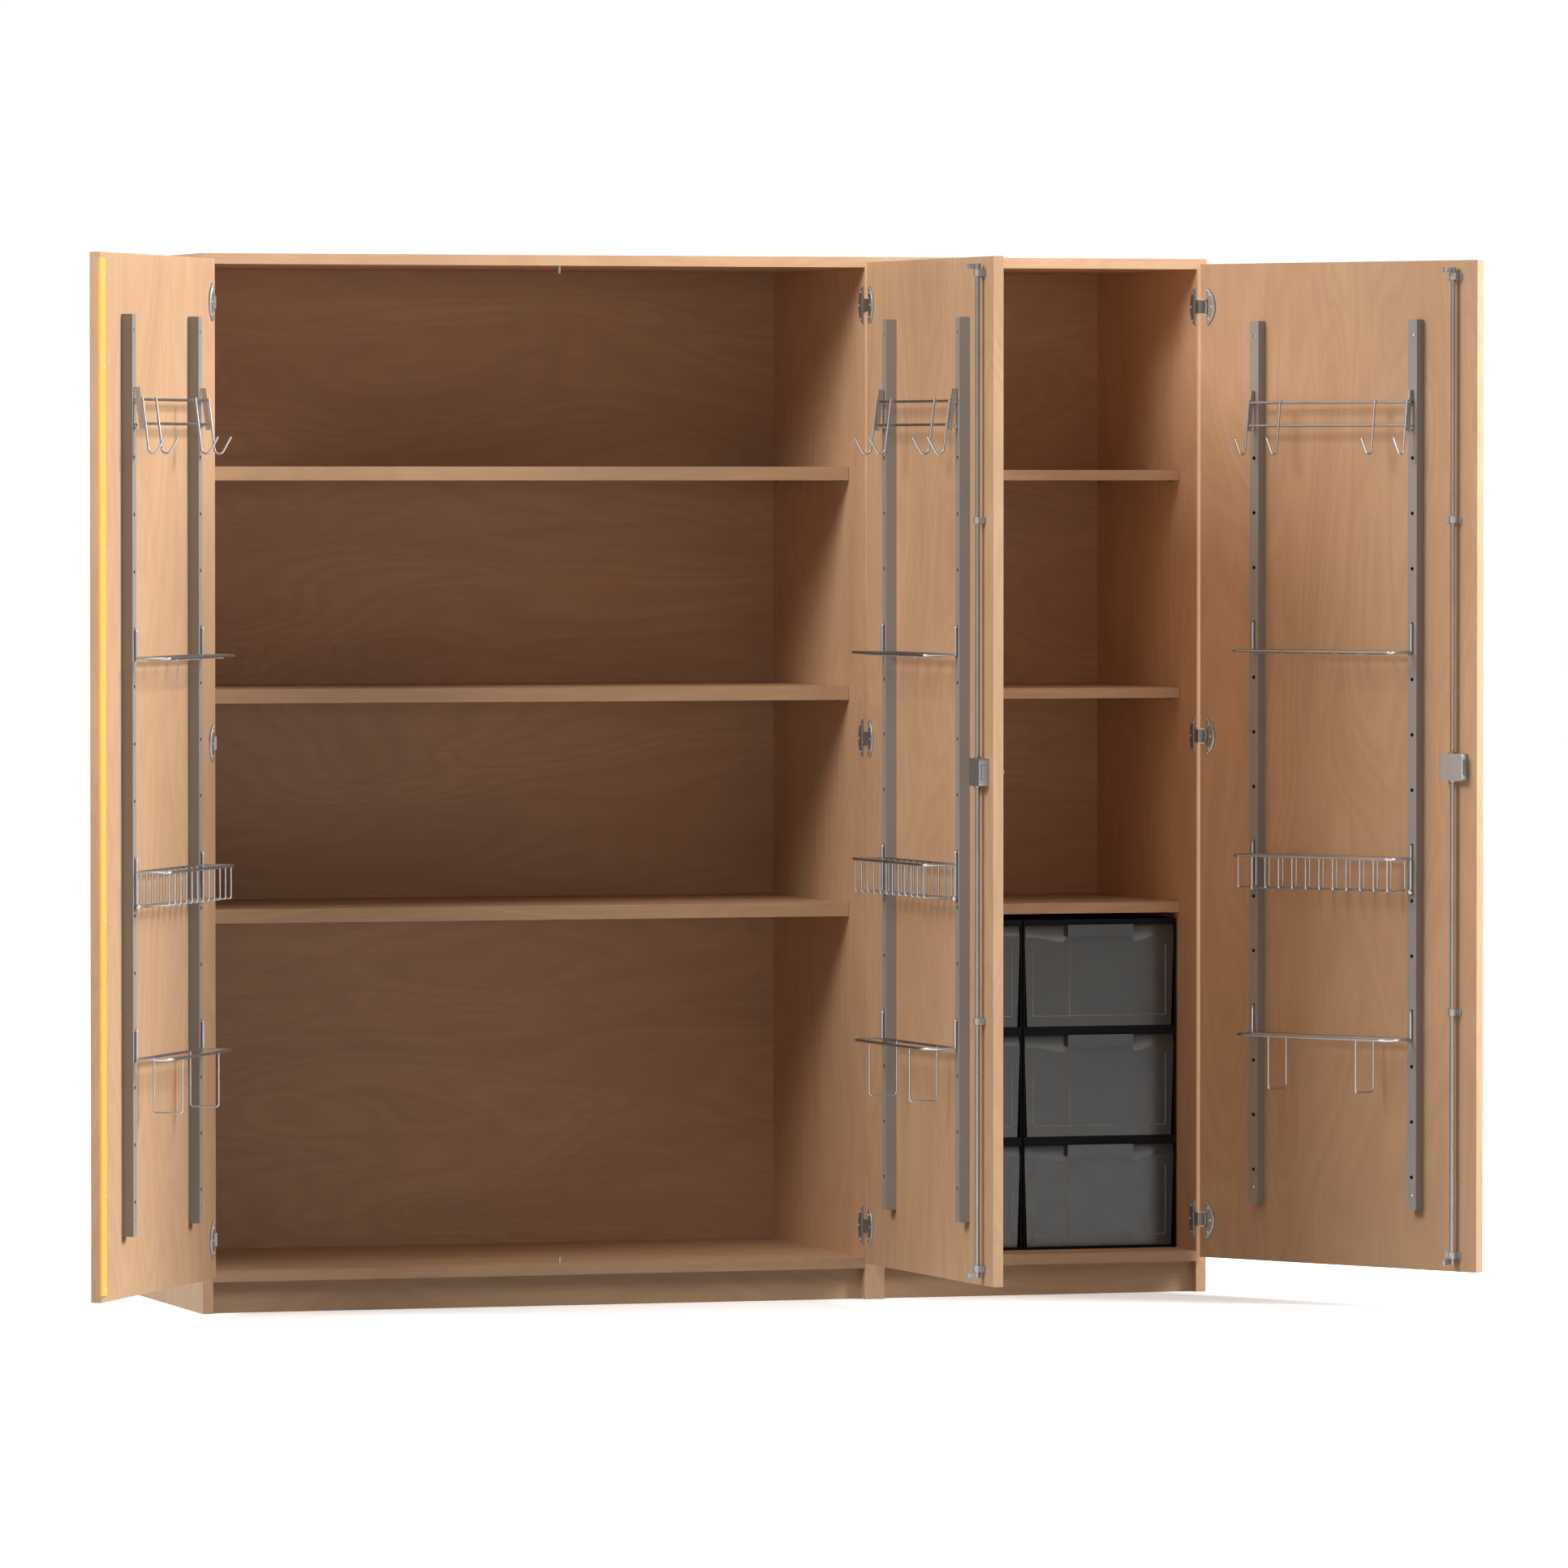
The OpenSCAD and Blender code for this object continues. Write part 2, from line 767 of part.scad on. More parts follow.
module knob(door) {
    rose_r = 14;
    rose_t = 3;
    grip_w = 36;
    grip_h = 9;
    grip_t = 10;
    spindle_gap = 1.6;
    spindle_len = door_t + run_gap + rod_o - rod_r - spindle_gap;
    color(OLIVE)
    on_door(door)
    translate([rod_s(door), -door_t - run_gap, lock_z])
    rotate([90, 0, 0]) {
        cylinder(h = rose_t, r = rose_r);
        translate([-grip_w / 2, -grip_h / 2, 0])
        linear_extrude(rose_t + grip_t)
        rounded_rectangle(grip_w, grip_h, grip_h / 2 - 0.5);
        translate([0, 0, -spindle_len])
        cylinder(h = spindle_len + 1, r = spindle_r);
    }
}

// Drawers
function column_x(column) = narrow_x0 + housing_gap + column * (housing_w + housing_gap);
function row_z(row) = floor_z + row * housing_h;

module drawer_housing() {
    inner_w = housing_w - 2 * housing_wall;
    difference() {
        cube([housing_w, housing_d, housing_h - run_gap]);
        translate([housing_wall, -1, housing_floor])
        cube([inner_w, housing_d - housing_wall + 1, housing_h - housing_floor - housing_band]);
        translate([housing_wall, housing_wall, housing_h - housing_band + housing_top])
        cube([inner_w, housing_d - 2 * housing_wall, housing_band]);
    }
}

module drawer_housings(column) {
    color(BLACK)
    placed()
    for (row = [0 : drawer_rows - 1])
        translate([column_x(column), housing_setback, row_z(row)])
        drawer_housing();
}

// Cross-section of a drawer, which narrows towards the bottom
module drawer_section(inset, low, high) {
    polygon([
        [drawer_taper + inset, low],
        [drawer_w - drawer_taper - inset, low],
        [drawer_w - inset, high],
        [inset, high]
    ]);
}

// Drawer front with a raised pull between two sloping shoulders
module drawer_front_outline() {
    left_shoulder = drawer_h - 24;
    right_shoulder = drawer_h - 20;
    dip_z = drawer_h - 34;
    dip_run = 6;
    corner_run = 30;
    pull_x0 = (drawer_w - pull_w) / 2;
    pull_x1 = (drawer_w + pull_w) / 2;
    polygon([
        [drawer_taper, 0],
        [drawer_w - drawer_taper, 0],
        [drawer_w, right_shoulder],
        [drawer_w - corner_run, right_shoulder],
        [pull_x1 + dip_run, dip_z],
        [pull_x1, left_shoulder],
        [pull_x1, drawer_h],
        [pull_x0, drawer_h],
        [pull_x0, left_shoulder],
        [pull_x0 - dip_run, dip_z],
        [corner_run, left_shoulder],
        [0, left_shoulder]
    ]);
}

module drawer_body() {
    side_h = drawer_h - 14;
    // Walls and floor
    difference() {
        translate([0, drawer_d, 0])
        rotate([90, 0, 0])
        linear_extrude(drawer_d)
        drawer_section(0, 0, side_h);
        translate([0, drawer_d - drawer_wall, 0])
        rotate([90, 0, 0])
        linear_extrude(drawer_d)
        drawer_section(drawer_wall, drawer_wall, side_h + 1);
    }
    // Front wall
    translate([0, drawer_wall, 0])
    rotate([90, 0, 0])
    linear_extrude(drawer_wall)
    drawer_front_outline();
    // Finger pull
    difference() {
        translate([(drawer_w - pull_w) / 2, -pull_reach, drawer_h - pull_h])
        cube([pull_w, pull_reach + drawer_wall, pull_h]);
        translate([(drawer_w - pull_w) / 2 + drawer_wall, -pull_reach + drawer_wall, drawer_h - pull_h - 1])
        cube([pull_w - 2 * drawer_wall, pull_reach - drawer_wall, pull_h - drawer_wall + 1]);
    }
}

module drawer(column, row) {
    color(SMOKE)
    placed()
    translate([
        column_x(column) + (housing_w - drawer_w) / 2,
        housing_setback + drawer_wall + drawer_recess,
        row_z(row) + housing_floor + run_gap
    ])
    drawer_body();
}

side_panel(0);  // left_side_panel
middle_partition();
side_panel(narrow_x1);  // right_side_panel
top_panel();
bottom_panel(wide_x0, wide_x1);  // wide_bottom_panel
bottom_panel(narrow_x0, narrow_x1);  // narrow_bottom_panel
plinth_board(wide_x0, wide_x1);  // wide_plinth_board
plinth_board(narrow_x0, narrow_x1);  // narrow_plinth_board
back_panel(wide_x0, wide_x1);  // wide_back_panel
back_panel(narrow_x0, narrow_x1);  // narrow_back_panel
shelf(wide_x0, wide_x1, shelf_z[0], wide_shelf_t);  // wide_lower_shelf
shelf(wide_x0, wide_x1, shelf_z[1], wide_shelf_t);  // wide_middle_shelf
shelf(wide_x0, wide_x1, shelf_z[2], wide_shelf_t);  // wide_upper_shelf
shelf(narrow_x0, narrow_x1, shelf_z[0], board);  // narrow_lower_shelf
shelf(narrow_x0, narrow_x1, shelf_z[1], board);  // narrow_middle_shelf
shelf(narrow_x0, narrow_x1, shelf_z[2], board);  // narrow_upper_shelf
shelf_pins();
rod_strikes();
hinge_frame_plates();
hinge_pins();
door_leaf(LEFT);  // left_door
closing_strip();  // left_closing_strip
hinge_door_plates(LEFT);  // left_hinge_door_plates
door_rails(LEFT);  // left_door_rails
hook_rail(LEFT);  // left_hook_rail
wire_shelf(LEFT);  // left_wire_shelf
basket(LEFT);  // left_basket
bottle_holder(LEFT);  // left_bottle_holder
door_leaf(MIDDLE);  // middle_door
hinge_door_plates(MIDDLE);  // middle_hinge_door_plates
door_rails(MIDDLE);  // middle_door_rails
hook_rail(MIDDLE);  // middle_hook_rail
wire_shelf(MIDDLE);  // middle_wire_shelf
basket(MIDDLE);  // middle_basket
bottle_holder(MIDDLE);  // middle_bottle_holder
lock_case(MIDDLE);  // middle_lock_case
rod_guides(MIDDLE);  // middle_rod_guides
lock_rod(MIDDLE);  // middle_lock_rod
knob(MIDDLE);  // middle_knob
side_bolt(MIDDLE);  // middle_side_bolt
door_leaf(RIGHT);  // right_door
hinge_door_plates(RIGHT);  // right_hinge_door_plates
door_rails(RIGHT);  // right_door_rails
hook_rail(RIGHT);  // right_hook_rail
wire_shelf(RIGHT);  // right_wire_shelf
basket(RIGHT);  // right_basket
bottle_holder(RIGHT);  // right_bottle_holder
lock_case(RIGHT);  // right_lock_case
rod_guides(RIGHT);  // right_rod_guides
lock_rod(RIGHT);  // right_lock_rod
knob(RIGHT);  // right_knob
side_bolt(RIGHT);  // right_side_bolt
drawer_housings(0);  // left_drawer_housings
drawer_housings(1);  // right_drawer_housings
drawer(0, 0);  // left_lower_drawer
drawer(0, 1);  // left_middle_drawer
drawer(0, 2);  // left_upper_drawer
drawer(1, 0);  // right_lower_drawer
drawer(1, 1);  // right_middle_drawer
drawer(1, 2);  // right_upper_drawer
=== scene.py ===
"""Lockable storage cabinet: finishes, small fittings, stage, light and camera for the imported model."""

import math

import bpy
from bpy.props import FloatProperty, FloatVectorProperty, IntProperty, PointerProperty
from mathutils import Matrix, Vector


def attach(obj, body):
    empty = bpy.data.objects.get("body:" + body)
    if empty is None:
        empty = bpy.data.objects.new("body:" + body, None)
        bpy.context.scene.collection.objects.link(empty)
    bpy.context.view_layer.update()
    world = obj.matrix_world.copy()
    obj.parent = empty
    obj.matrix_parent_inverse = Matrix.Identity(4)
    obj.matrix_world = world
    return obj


bl_info = {
    "name": "Storage cabinet details",
    "version": (1, 0, 0),
    "blender": (4, 5, 0),
    "location": "View3D > Sidebar > Cabinet",
    "description": "Finishes, screws, collars and drawer ribs of a lockable storage cabinet",
    "category": "Object",
}

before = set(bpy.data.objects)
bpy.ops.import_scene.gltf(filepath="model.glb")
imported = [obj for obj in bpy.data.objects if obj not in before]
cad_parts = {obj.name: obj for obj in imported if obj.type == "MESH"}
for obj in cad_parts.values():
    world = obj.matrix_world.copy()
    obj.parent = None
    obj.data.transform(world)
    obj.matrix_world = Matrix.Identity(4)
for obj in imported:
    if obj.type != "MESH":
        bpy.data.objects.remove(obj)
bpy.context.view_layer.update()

# One millimetre, in metres. All sizes below are in metres
MM = 0.001

# Places of the doors
CARCASS_FRONT = -0.290
DOOR_GAP = 0.002
PIVOT_S = 0.0035
PIVOT_O = -0.0135
DOORS = {
    "left": {"edge": -1.259, "side": 1, "open": 122.5, "width": 0.627},
    "middle": {"edge": -0.002, "side": -1, "open": 93.5, "width": 0.627},
    "right": {"edge": 0.637, "side": -1, "open": 122.5, "width": 0.635},
}
LOCKED_DOORS = ("middle", "right")

# Places of the fittings on a door
HINGE_HEIGHTS = (0.135, 1.024, 1.812)
HINGE_PLATE_TOP = 0.0045
DOOR_PLATE_SCREWS = ((0.0215, -0.022), (0.0215, 0.022), (0.027, 0.0))
FRAME_PLATE_TOP = 0.0215
FRAME_PLATE_SCREWS = ((0.012, -0.025), (0.012, 0.025), (0.022, 0.0))
RAIL_PLACES = (0.1405, 0.5035)
RAIL_FACE = 0.020
RAIL_SCREW_SINK = 0.001
RAIL_FIXING_HEIGHTS = (0.202, 1.756)
ROD_FROM_EDGE = 0.046
ROD_DEPTH = 0.012
GUIDE_HEIGHTS = (0.096, 0.535, 1.423, 1.861)
GUIDE_SCREW_OFFSET = 0.015
GUIDE_FOOT = 0.002
CASE_LOW = 0.9525
CASE_HIGH = 1.0015
STRIP_SCREW_PLACE = 0.613
STRIP_FACE = 0.004
STRIP_SCREW_LOW = 0.090
STRIP_SCREW_PITCH = 0.160
STRIP_SCREWS = 12
BUMPER_HEIGHT = 1.590
BUMPER_LENGTH = 0.0098
BUMPER_PLAY = 0.0002

# Lengths of the screws' shanks
SCREW_SHANK = 0.003
RAIL_SCREW_SHANK = 0.0175

# Shares of a small fitting's radius, height or length
SCREW_ROUNDING = 0.55
SCREW_SHOULDER = 0.3
RECESS_LENGTH = 1.2
RECESS_WIDTH = 0.3
RECESS_TAPER = 0.6
COLLAR_WALL = 0.32
COLLAR_ROUNDING = 0.1
BUMPER_FLANGE = 0.28
BUMPER_WAIST = 0.85
BUMPER_ROUNDING = 0.35
RIB_ROUNDING = 0.3

# Places and sizes of the drawers, and of the ribs and panes on their fronts
DRAWER_LEFT_EDGES = {"left": 0.0251, "right": 0.3241}
DRAWER_FLOORS = {"lower": 0.0813, "middle": 0.2843, "upper": 0.4873}
DRAWER_WIDTH = 0.2898
DRAWER_FRONT_Y = -0.179
RIB_INSET = 0.016
PULL_SHARE = 0.28
DRAWER_HEIGHT = 0.1874
SHOULDER = 0.024
SHOULDER_FALL = 0.010
PANE_GAP = 0.0005
PANE_THICKNESS = 0.0012
RIB_SHARE = 0.3
RIB_LOW = 0.020
RIB_TOP = 0.150
RIB_PROUD = 0.0012
RIB_SEAT = 0.0003

# Growth rings over the whole range of the beech figure
RING_COUNT = 13.0

# Marks of the beech decor, in millimetres across and along the grain
PORE_MARKS = (5.3, 110)
RAY_MARKS = (1.1, 11)
FIGURE_MARKS = (167, 670)

# Marks of the plain surfaces, in millimetres along X, Y and Z
METAL_PATCHES = (40, 40, 40)
PLASTIC_PATCHES = (110, 110, 110)
METAL_SKIN = (3.3, 3.3, 3.3)
PLASTIC_SKIN = (0.7, 0.7, 0.7)

# Most values of a noise lie between these two
NOISE_LOW = 0.3
NOISE_HIGH = 0.7

# Strength of all relief, whose depth is set by its distance
RELIEF_STRENGTH = 0.4
LAMINATE_RELIEF = 0.03 * MM

# Edges between faces flatter than this, in degrees, are shaded smooth
SMOOTH_ANGLE = 35

# Camera of the photograph
CAMERA_PLACE = (-6.07993, -19.64704, 1.50143)
CAMERA_TURN = (88.69, 0.0, -16.97)
CAMERA_LENS = 255.7
CAMERA_SHIFT_Y = -0.034

CAMERA_SENSOR = 36

# Brightness of the surroundings, by height from 0 straight down to 1 straight up
WORLD_STOPS = ((0.485, 0.1), (0.493, 1.1), (0.54, 1.1), (0.555, 0.08), (0.75, 0.1))
NADIR = 0.1
ZENITH = 1.7
BACKDROP = 1.1

# Floor, and the two soft lights, as (place, target)
FLOOR_SIZE = 160
FLOOR_GLOW = 0.3
FLOOR_SHADE = 0.985
FLOOR_MARKS = (1400, 1400, 1400)
KEY_LIGHT = ((5.9, -3.2, 4.8), (0.0, -0.6, 0.9))
FILL_LIGHT = ((-5.9, -3.0, 5.2), (0.3, -0.6, 0.9))
LIGHT_SIZE = 3.0


def linear(code):
    """Colour of an sRGB hex code as linear red, green, blue and alpha."""
    channels = []
    for start in (1, 3, 5):
        value = int(code[start:start + 2], 16) / 255
        channels.append(value / 12.92 if value <= 0.04045 else ((value + 0.055) / 1.055) ** 2.4)
    return (*channels, 1.0)


def colour_property(name, description, code):
    """Colour property whose default is an sRGB hex code."""
    return FloatVectorProperty(
        name=name,
        description=description,
        subtype="COLOR",
        size=4,
        min=0.0,
        max=1.0,
        default=linear(code),
    )


class CabinetBoardSettings(bpy.types.PropertyGroup):
    """Finish of the laminated boards."""

    light: colour_property("Light grain", "Colour between the grain lines", "#caa37f")
    dark: colour_property("Dark grain", "Colour of the grain lines", "#b08868")
    roughness: FloatProperty(name="Roughness", description="Roughness of the laminate", default=0.5)


class CabinetMetalSettings(bpy.types.PropertyGroup):
    """Finishes of the metal parts."""

    rail: colour_property("Rails", "Colour of the lacquered rails", "#98948f")
    zinc: colour_property("Zinc", "Colour of the die-cast hinges, guides and locks", "#969695")
    steel: colour_property("Steel", "Colour of the nickel-plated steel", "#8b8a8a")
    screw: colour_property("Screws", "Colour of the screws", "#dcdcdb")
    wire: colour_property("Wire", "Colour of the chromed wire", "#abadb0")


class CabinetPlasticSettings(bpy.types.PropertyGroup):
    """Finishes of the plastic parts."""

    housing: colour_property("Housings", "Colour of the drawer housings", "#0b0b0c")
    smoke: colour_property("Drawers", "Colour of the see-through drawers", "#444543")
    # The ribs' colour is a painted highlight: paler than the wall, for light that leaves the plastic at
    # them
    edge: colour_property("Drawer edges", "Colour of the drawers' ribs", "#84888a")
    knob: colour_property("Knobs", "Colour of the lock knobs", "#5f5a45")
    strip: colour_property("Strip", "Colour of the closing strip", "#f2bb55")
    smoke_cover: FloatProperty(
        name="Drawer cover", description="Share of the light that a drawer wall stops", default=0.9
    )


class CabinetFittingSettings(bpy.types.PropertyGroup):
    """Sizes of the small fittings."""

    screw_radius: FloatProperty(
        name="Screw radius", description="Radius of a screw head", default=0.0024, unit="LENGTH"
    )
    screw_height: FloatProperty(
        name="Screw height", description="Height of a screw head", default=0.0012, unit="LENGTH"
    )
    collar_radius: FloatProperty(
        name="Collar radius", description="Outer radius of a rod collar", default=0.0065, unit="LENGTH"
    )
    collar_height: FloatProperty(
        name="Collar height", description="Height of a rod collar", default=0.005, unit="LENGTH"
    )
    bumper_radius: FloatProperty(
        name="Bumper radius", description="Radius of a hook rail bumper", default=0.004, unit="LENGTH"
    )
    rib_width: FloatProperty(
        name="Rib width", description="Width of a drawer rib", default=0.0014, unit="LENGTH"
    )
    facets: IntProperty(name="Facets", description="Sides of a round fitting", default=32)


class CabinetStageSettings(bpy.types.PropertyGroup):
    """Floor and light."""

    floor: colour_property("Floor", "Colour of the floor", "#ffffff")
    key_power: FloatProperty(
        name="Key", description="Power of the main light", default=1100.0, unit="POWER"
    )
    fill_power: FloatProperty(
        name="Fill", description="Power of the second light", default=420.0, unit="POWER"
    )


def add_node(tree, kind, settings=None, links=None):
    """Adds a shader node. Settings and links are named by property, or by the input's name or number."""
    node = tree.nodes.new(kind)
    for key, value in (settings or {}).items():
        if isinstance(key, int) or key in node.inputs:
            node.inputs[key].default_value = value
        else:
            setattr(node, key, value)
    for key, socket in (links or {}).items():
        tree.links.new(socket, node.inputs[key])
    return node


def new_material(name):
    """Material with an empty Principled shader, its tree and that shader."""
    material = bpy.data.materials.new(name)
    material.use_nodes = True
    tree = material.node_tree
    shader = tree.nodes["Principled BSDF"]
    return material, tree, shader


def noise_pattern(tree, spacing, settings):
    """Value of a noise over the piece, whose marks lie this many millimetres apart along X, Y and Z."""
    repeats = [1 / (MM * distance) for distance in spacing]
    place = add_node(tree, "ShaderNodeTexCoord")
    mapping = add_node(tree, "ShaderNodeMapping", {"Scale": repeats}, {"Vector": place.outputs["Object"]})
    links = {"Vector": mapping.outputs["Vector"]}
    noise = add_node(tree, "ShaderNodeTexNoise", {"Scale": 1.0, **settings}, links)
    return noise.outputs["Fac"]


def scaled_colour(colour, factor):
    """A lighter or darker shade of a colour."""
    return tuple(min(1.0, factor * channel) for channel in colour[:3]) + (1.0,)


def beech_laminate(settings, axis):
    """Beech decor whose grain runs along X or Z."""
    # Beech-printed paper pressed under melamine: a satin surface with growth rings, pores and short rays
    material, tree, shader = new_material("beech_laminate_grain_" + axis.lower())

    def along(across, length):
        """Spacing across and along the grain, in millimetres."""
        return (length, across, across) if axis == "X" else (across, across, length)

    pores = noise_pattern(tree, along(*PORE_MARKS), {"Detail": 5.0, "Roughness": 0.6, "Distortion": 0.8})
    rays = noise_pattern(tree, along(*RAY_MARKS), {"Detail": 2.0})
    figure = noise_pattern(tree, along(*FIGURE_MARKS), {"Detail": 1.5, "Distortion": 0.7})
    # Lines of equal value through the broad figure are the growth rings of a flat-sawn board
    counted = add_node(tree, "ShaderNodeMath", {"operation": "MULTIPLY", 1: RING_COUNT}, {0: figure})
    fold = {"operation": "PINGPONG", 1: 0.5}
    folded = add_node(tree, "ShaderNodeMath", fold, {0: counted.outputs["Value"]})
    layers = (
        (pores, (0.35, 0.7), 0.3, settings.dark),
        (folded.outputs["Value"], (0.1, 0.5), 0.3, settings.dark),
        (figure, (0.4, 0.7), 0.45, settings.dark),
        (rays, (0.6, 0.75), 0.35, scaled_colour(settings.dark, 0.7)),
    )
    below = add_node(tree, "ShaderNodeRGB")
    below.outputs["Color"].default_value = settings.light
    colour = below.outputs["Color"]
    for pattern, (start, end), share, tone in layers:
        strength = add_node(
            tree,
            "ShaderNodeMapRange",
            {"From Min": start, "From Max": end, "To Max": share},
            {"Value": pattern},
        )
        mix = add_node(
            tree,
            "ShaderNodeMix",
            {"data_type": "RGBA", 7: tone},
            {0: strength.outputs["Result"], 6: colour},
        )
        colour = mix.outputs[2]
    tree.links.new(colour, shader.inputs["Base Color"])
    satin = add_node(
        tree,
        "ShaderNodeMapRange",
        {
            "From Min": NOISE_LOW,
            "From Max": NOISE_HIGH,
            "To Min": settings.roughness - 0.04,
            "To Max": settings.roughness + 0.06,
        },
        {"Value": pores},
    )
    tree.links.new(satin.outputs["Result"], shader.inputs["Roughness"])
    relief = {"Strength": RELIEF_STRENGTH, "Distance": LAMINATE_RELIEF}
    bump = add_node(tree, "ShaderNodeBump", relief, {"Height": rays})
    tree.links.new(bump.outputs["Normal"], shader.inputs["Normal"])
    shader.inputs["IOR"].default_value = 1.5
    return material


def varied_surface(name, colour, shade, patches, skin, roughness, relief):
    """Material whose tone drifts over patches, and whose gloss and relief follow a fine skin.

    Patches and skin are spacings in millimetres, roughness is its range, and relief is in millimetres.
    """
    material, tree, shader = new_material(name)
    drift = noise_pattern(tree, patches, {"Detail": 2.0})
    share = add_node(
        tree, "ShaderNodeMapRange", {"From Min": 0.35, "From Max": 0.7, "To Max": 0.6}, {"Value": drift}
    )
    mix = add_node(
        tree,
        "ShaderNodeMix",
        {"data_type": "RGBA", 6: colour, 7: scaled_colour(colour, shade)},
        {0: share.outputs["Result"]},
    )
    tree.links.new(mix.outputs[2], shader.inputs["Base Color"])
    marks = noise_pattern(tree, skin, {"Detail": 3.0})
    gloss = add_node(
        tree,
        "ShaderNodeMapRange",
        {
            "From Min": NOISE_LOW,
            "From Max": NOISE_HIGH,
            "To Min": roughness[0],
            "To Max": roughness[1],
        },
        {"Value": marks},
    )
    tree.links.new(gloss.outputs["Result"], shader.inputs["Roughness"])
    depth = {"Strength": RELIEF_STRENGTH, "Distance": relief * MM}
    bump = add_node(tree, "ShaderNodeBump", depth, {"Height": marks})
    tree.links.new(bump.outputs["Normal"], shader.inputs["Normal"])
    return material, shader


def die_cast_zinc(colour):
    """Tumbled and nickel-plated zinc casting."""
    # The cast skin scatters light, so hinges, guides and lock cases look satin and hardly mirror
    material, shader = varied_surface(
        "die_cast_zinc", colour, 0.88, METAL_PATCHES, METAL_SKIN, (0.45, 0.6), 0.004
    )
    shader.inputs["Metallic"].default_value = 1.0
    return material


def nickel_plated_steel(colour):
    """Drawn and nickel-plated steel."""
    # The drawn rods and pins are smoother than the castings, with a long soft highlight
    material, shader = varied_surface(
        "nickel_plated_steel", colour, 0.82, METAL_PATCHES, METAL_SKIN, (0.3, 0.4), 0.001
    )
    shader.inputs["Metallic"].default_value = 1.0
    return material


def chromed_wire(colour):
    """Bent steel wire with bright chrome."""
    # Chrome over drawn wire shows the room as thin soft highlights along each bar
    material, shader = varied_surface(
        "chromed_wire", colour, 0.86, METAL_PATCHES, (4, 4, 4), (0.32, 0.4), 0.001
    )
    shader.inputs["Metallic"].default_value = 1.0
    return material


def bright_screw_steel(colour):
    """Zinc-plated screw heads."""
    # Bright plating makes the small heads stand out as light dots
    material, shader = varied_surface(
        "bright_screw_steel", colour, 0.9, (20, 20, 20), (1.5, 1.5, 1.5), (0.25, 0.35), 0.001
    )
    shader.inputs["Metallic"].default_value = 1.0
    return material


def silver_grey_lacquer(colour):
    """Matt silver-grey lacquer on rolled steel rails."""
    # Rolling leaves fine lines along the rail that show through the lacquer in its gloss
    material, shader = varied_surface(
        "silver_grey_lacquer", colour, 0.86, (70, 70, 330), (1.1, 1.1, 83), (0.34, 0.46), 0.01
    )
    shader.inputs["IOR"].default_value = 1.5
    return material


def black_polystyrene(colour):
    """Injection-moulded black polystyrene with an eroded matt skin."""
    # The matt skin swallows light. Its grain is drawn coarser than the real 0.1 mm, so that it shows
    material, shader = varied_surface(
        "black_polystyrene", colour, 1.25, PLASTIC_PATCHES, PLASTIC_SKIN, (0.5, 0.7), 0.02
    )
    shader.inputs["IOR"].default_value = 1.59
    shader.inputs["Specular IOR Level"].default_value = 0.08
    return material


def smoke_polystyrene(colour, cover):
    """Clear polystyrene tinted smoke-grey."""
    # A cover below 1 lets a little of what is behind the wall show, as tinted plastic does
    material, shader = varied_surface(
        "smoke_polystyrene", colour, 1.25, PLASTIC_PATCHES, (22, 22, 22), (0.17, 0.24), 0.02
    )
    shader.inputs["IOR"].default_value = 1.59
    shader.inputs["Specular IOR Level"].default_value = 0.35
    shader.inputs["Alpha"].default_value = cover
    return material


def smoke_polystyrene_painted_highlight(colour):
    """The same plastic at its moulded ribs, coloured paler as a painted highlight."""
    # Light that runs inside the wall leaves at its ribs, so they are painted paler than the wall as a
    # highlight
    material, shader = varied_surface(
        "smoke_polystyrene_painted_highlight", colour, 1.2, PLASTIC_PATCHES, (5, 5, 5), (0.25, 0.36), 0.01
    )
    shader.inputs["IOR"].default_value = 1.59
    return material


def olive_nylon(colour):
    """Injection-moulded nylon."""
    # A fine skin gives the knobs a soft sheen
    material, shader = varied_surface(
        "olive_nylon", colour, 1.25, PLASTIC_PATCHES, PLASTIC_SKIN, (0.38, 0.54), 0.02
    )
    shader.inputs["IOR"].default_value = 1.53
    return material


def yellow_pvc(colour):
    """Extruded PVC section."""
    # The extruder's die leaves lines along the strip and an even silky gloss
    material, shader = varied_surface(
        "yellow_pvc", colour, 1.1, (110, 110, 300), (0.7, 0.7, 40), (0.34, 0.48), 0.01
    )
    shader.inputs["IOR"].default_value = 1.54
    return material


def paint(node_names, material):
    """Gives CAD nodes one material."""
    for name in node_names:
        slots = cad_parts[name].data.materials
        slots.clear()
        slots.append(material)


def nodes_with(*endings):
    """Names of the CAD nodes that end in one of these words."""
    return [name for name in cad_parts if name.endswith(endings)]


def deselect_all():
    """Leaves edit mode and selects nothing."""
    if bpy.context.object and bpy.context.object.mode != "OBJECT":
        bpy.ops.object.mode_set(mode="OBJECT")
    bpy.ops.object.select_all(action="DESELECT")


def select_faces(piece, wanted):
    """Goes into edit mode with only the faces selected that wanted(face) is true for."""
    bpy.ops.object.mode_set(mode="EDIT")
    bpy.ops.mesh.select_mode(type="FACE")
    bpy.ops.mesh.select_all(action="DESELECT")
    bpy.ops.object.mode_set(mode="OBJECT")
    for face in piece.data.polygons:
        face.select = wanted(face)
    bpy.ops.object.mode_set(mode="EDIT")


def select_points(piece, wanted):
    """Goes into edit mode with only the points selected that wanted(place) is true for."""
    bpy.ops.object.mode_set(mode="EDIT")
    bpy.ops.mesh.select_mode(type="VERT")
    bpy.ops.mesh.select_all(action="DESELECT")
    bpy.ops.object.mode_set(mode="OBJECT")
    for point in piece.data.vertices:
        point.select = wanted(point.co)
    bpy.ops.object.mode_set(mode="EDIT")


def apply_modifiers(piece):
    """Applies all modifiers of the active piece."""
    for modifier in list(piece.modifiers):
        bpy.ops.object.modifier_apply(modifier=modifier.name)


